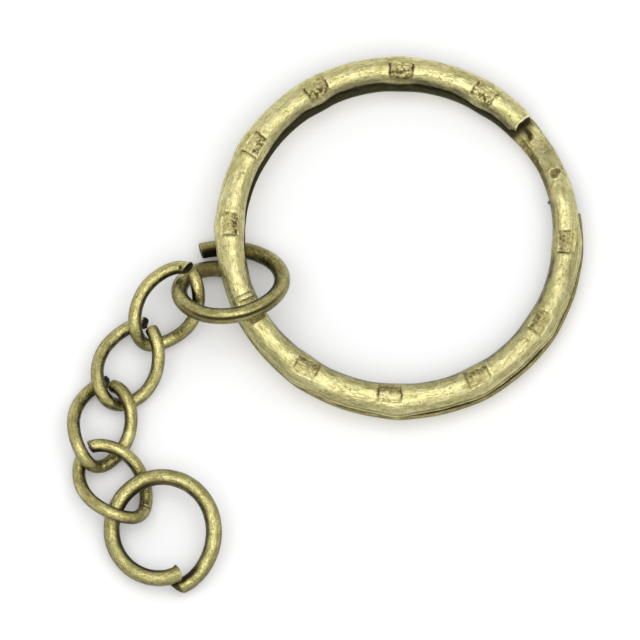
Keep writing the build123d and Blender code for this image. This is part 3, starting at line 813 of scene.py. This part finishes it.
    # painted highlight: where the tarnish value falls below zero, on rims, burrs and the lip, a pale bare-metal colour
    bare_and_highlight = value(tar_shade.outputs["Fac"], -0.05, -0.8)
    body = mix(bare_and_highlight, body, (0.90, 0.84, 0.50))
    Lk.new(body, bs.inputs["Base Color"])
    bs.inputs["Metallic"].default_value = 1.0
    r1 = value(noise((3.0, 4.0, 4.0), 3.0, 0.6, 0.0, (4, 4, 4)), 0.3, 0.7, rough - 0.07, rough + 0.09)
    r2 = math_("ADD", r1, math_("MULTIPLY", dirt_and_shade, 0.22))
    r2 = math_("ADD", r2, math_("MULTIPLY", speck_mask, 0.15))
    Lk.new(r2, bs.inputs["Roughness"])
    # relief: pitted cast grain, drawing lines, soft hammered waviness
    def bump(height, strength, distance, normal=None):
        b = N.new("ShaderNodeBump")
        b.inputs["Strength"].default_value = strength
        b.inputs["Distance"].default_value = distance
        Lk.new(height, b.inputs["Height"])
        if normal is not None:
            Lk.new(normal, b.inputs["Normal"])
        return b.outputs[0]

    nrm = bump(noise((1.6, 3.2, 3.2), 2.0, 0.5, 0.2, (9, 5, 3)), 0.30, 0.00022)
    nrm = bump(math_("SUBTRACT", 1.0, speck_mask), 0.30, 0.00005, nrm)
    nrm = bump(noise((11.0, 15.0, 15.0), 4.0, 0.65, 0.0, (3, 8, 5)), 0.22, 0.00005, nrm)
    nrm = bump(lines, 0.35, 0.00005, nrm)
    Lk.new(nrm, bs.inputs["Normal"])
    return m


BRIGHT = (0.77, 0.71, 0.36)
MID = (0.545, 0.51, 0.216)
DARK = (0.036, 0.033, 0.016)
TARN_SHADE = (0.090, 0.080, 0.038)
mat_ring = bronze("bronze_ring", BRIGHT, MID, DARK, TARN_SHADE, 0.29, (0, 0, 0), 0.55, blot=0.58)
WIRE_TARN_SHADE = (0.042, 0.037, 0.017)
mat_jump = bronze("bronze_jump", (0.61, 0.56, 0.25), (0.315, 0.292, 0.112), DARK, WIRE_TARN_SHADE, 0.28, (31, 7, 3), 0.35, 0.75, 10.0, 0.50)
mat_link = bronze("bronze_chain", (0.67, 0.61, 0.262), (0.33, 0.30, 0.112), DARK, WIRE_TARN_SHADE, 0.26, (13, 29, 17), 0.35, 0.62, 10.0, 0.50)

# ---- pieces -------------------------------------------------------------------------
upper = ring_piece("split_ring_upper_coil", split_ring_upper())
rest = ring_piece("split_ring_lower_coil", split_ring_rest())
JUMP, LINK = 0.55, 0.45
# patches with no depth are painted shade: the lower front of the flattened cut end, the back arc under the split ring,
# and a band below the front arc's highlight
connector = wire("connector_jump_ring", ROUTES["connector"], JUMP, 1, around=56,
                 ends=(dict(up=0.3, squash=(0.92, 1.0), dark=0.8), dict(up=0.32, dark=0.85, shift=0.16)),
                 flats=[(22.9, 1.5, -66, 0.24), (22.9, 1.2, 22, 0.12), (10.6, 3.6, 40, 0.05), (10.6, 3.6, 66, 0.05)],
                 dents_and_shade=[(22.9, -70, 1.9, 76, 0.0, 0.98), (10.5, 34, 4.2, 17, 0.0, 0.80), (3.0, -70, 1.5, 30, 0.0, 0.55),
                        (0.9, 0, 1.8, 120, 0.0, 0.48), (5.2, 60, 1.6, 22, 0.0, 0.45)],
                 side_tarnish_and_shade=(0.55, 1.0, 0.5))
links = [
    wire("curb_link_1", ROUTES["link_1"], LINK, 2,
         ends=(dict(side=-0.55, up=-0.05, dark=0.9, shift=-0.12, rough=0.03,
                    lips=((-10, 45, 0.03, 0.10), (70, 30, 0.05, 0.14))), dict(side=0.2, dark=0.9)),
         dents_and_shade=[(0.24, -22, 0.20, 24, 0.06, 0.75), (7.70, -58, 0.50, 36, 0.03, 0.85), (8.25, -25, 0.45, 30, 0.02, 0.5)],
         side_tarnish_and_shade=(0.75, 1.0, 0.5)),
    wire("curb_link_2", ROUTES["link_2"], LINK, 3,
         ends=(dict(up=-0.25, dark=0.95, rough=0.09, squash=(1.0, 0.9)), dict(dark=0.7)),
         dents_and_shade=[(8.50, -10, 0.34, 56, 0.05, 0.62), (8.15, -50, 0.25, 30, 0.03, 0.7)], side_tarnish_and_shade=(0.75, 1.0, 0.5)),
    wire("curb_link_3", ROUTES["link_3"], LINK, 4,
         ends=(dict(dark=0.95, rough=0.09), dict(dark=0.7)),
         dents_and_shade=[(8.35, -10, 0.40, 56, 0.05, 0.62), (7.95, -50, 0.30, 35, 0.03, 0.7)], side_tarnish_and_shade=(0.75, 1.0, 0.5)),
    wire("curb_link_4", ROUTES["link_4"], LINK, 5,
         ends=(dict(up=0.42, side=0.35, dark=0.9, shift=-0.13, rough=0.04), dict(dark=0.9)),
         dents_and_shade=[(6.95, 5, 0.09, 60, 0.05, 0.85), (7.25, 50, 0.25, 30, 0.02, 0.5)], side_tarnish_and_shade=(1.0, 0.75, 0.5)),
]
# patches with little or no depth are painted shade: the inner side facing the hole, the wedge beside the tip and the
# tip itself
end_ring = wire("end_jump_ring", ROUTES["end_ring"], JUMP, 6, around=56,
                ends=(dict(up=-0.48, side=0.05, shift=-0.04, dark=0.9, lips=((78, 22, 0.10, 0.12),)),
                      dict(up=0.2, side=0.55, dark=0.6)),
                dents_and_shade=[(21.9, 58, 1.5, 62, 0.03, 0.97), (22.80, -10, 0.34, 70, 0.0, 0.80), (3.9, 66, 3.9, 40, 0.01, 0.97), (9.8, 70, 3.0, 38, 0.0, 0.86)],
                side_tarnish_and_shade=(1.0, 0.75, 0.5))

for ob, mat, slot in ((upper, mat_ring, "aged_bronze_split_ring"), (rest, mat_ring, "aged_bronze_split_ring"),
                      (connector, mat_jump, "aged_bronze_jump_rings"), (end_ring, mat_jump, "aged_bronze_jump_rings"),
                      *((l, mat_link, "aged_bronze_chain") for l in links)):
    ob.data.materials.append(mat)

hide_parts("split_ring_free_end")
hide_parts("split_ring")
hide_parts("connector_ring")
for k, l in enumerate(links):
    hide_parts("chain_link_%d" % (k + 1))
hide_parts("end_ring")

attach(rest, "split_ring")
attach(connector, "connector")
for k, l in enumerate(links):
    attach(l, "link_%d" % (k + 1))
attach(end_ring, "end_ring")
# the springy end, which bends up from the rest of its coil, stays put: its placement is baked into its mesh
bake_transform(upper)

# ---- floor, light, camera -------------------------------------------------------------
scene = bpy.context.scene
fm = bpy.data.materials.new("pale_floor")
fm.use_nodes = True
fb = fm.node_tree.nodes["Principled BSDF"]
fb.inputs["Base Color"].default_value = (0.90, 0.90, 0.907, 1)
fb.inputs["Roughness"].default_value = 0.85
fb.inputs["Specular IOR Level"].default_value = 0.2
me = bpy.data.meshes.new("floor")
me.from_pydata([(-0.6, -0.6, 0), (0.6, -0.6, 0), (0.6, 0.6, 0), (-0.6, 0.6, 0)], [], [(0, 1, 2, 3)])
floor = bpy.data.objects.new("floor", me)
floor.location.z = -0.00002
scene.collection.objects.link(floor)
me.materials.append(fm)

world = bpy.data.worlds.new("studio")
scene.world = world
world.use_nodes = True
world.node_tree.nodes["Background"].inputs["Color"].default_value = (1.0, 1.0, 1.0, 1)
world.node_tree.nodes["Background"].inputs["Strength"].default_value = 0.80


def softbox(name, direction, dist, size, power, shape="RECTANGLE", size_y=None):
    l = bpy.data.lights.new(name, "AREA")
    l.shape = shape
    l.size = size
    if size_y is not None:
        l.size_y = size_y
    l.energy = power
    o = bpy.data.objects.new(name, l)
    d = Vector(direction).normalized()
    o.location = d * dist
    o.rotation_mode = "QUATERNION"
    o.rotation_quaternion = d.to_track_quat("Z", "Y")
    scene.collection.objects.link(o)
    return o


softbox("key_softbox", (0.02, -0.28, 1.0), 0.50, 0.085, 0.12, "RECTANGLE", 0.085)
softbox("wide_softbox", (0.0, -0.16, 1.0), 0.60, 0.85, 2.2, "RECTANGLE", 0.75)

cam = bpy.data.cameras.new("camera")
cam.type = "ORTHO"
PX = 14.64                                            # frame pixels to one millimetre
cam.ortho_scale = 640 / PX * MM
co = bpy.data.objects.new("camera", cam)
el = math.radians(76.0)
back = Vector((0, -math.cos(el), math.sin(el)))
up_v = Vector((0, math.sin(el), math.cos(el)))
ref = Vector(SHIFT.tolist()) * MM                     # seen at pixel (399, 237)
centre = ref + Vector((1, 0, 0)) * ((320 - 399) / PX * MM) + up_v * ((237 - 320) / PX * MM)
co.location = centre + back * 0.25
co.rotation_mode = "QUATERNION"
co.rotation_quaternion = back.to_track_quat("Z", "Y")
cam.clip_start, cam.clip_end = 0.01, 5
scene.collection.objects.link(co)
scene.camera = co
scene.view_settings.view_transform = "Standard"
scene.view_settings.look = "None"
